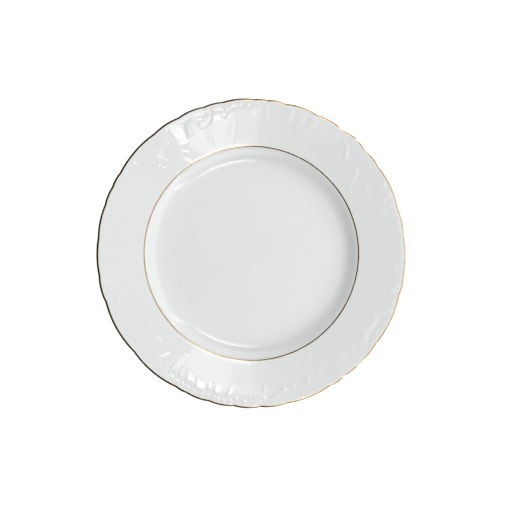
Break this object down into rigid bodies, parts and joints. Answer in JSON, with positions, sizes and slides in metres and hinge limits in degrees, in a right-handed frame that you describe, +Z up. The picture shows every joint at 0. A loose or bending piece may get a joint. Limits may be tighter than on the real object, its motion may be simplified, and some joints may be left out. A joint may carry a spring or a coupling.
{
  "type": "dinner plate",
  "caption": "Round china dinner plate with a flat well, a gently scalloped flange in low scroll relief, a gilt edge, a fine gilt line round the well and a foot ring.",
  "frame": {"origin": "centre of the foot ring's resting plane, on the plate's axis", "axes": "+Z up out of the well along the plate's axis; +X to the right and +Y to the top of the plate as pictured from above"},
  "size_m": [0.2601, 0.2603, 0.023],
  "materials": {
    "glazed_porcelain": "white porcelain under a clear gloss glaze, unglazed on the foot ring's resting band",
    "gilding": "fired and burnished gold, satin to bright"
  },
  "bodies": {
    "root": {"plate_body": "glazed_porcelain", "rim_gilt_band": "gilding", "well_gilt_line": "gilding"}
  },
  "joints": []
}
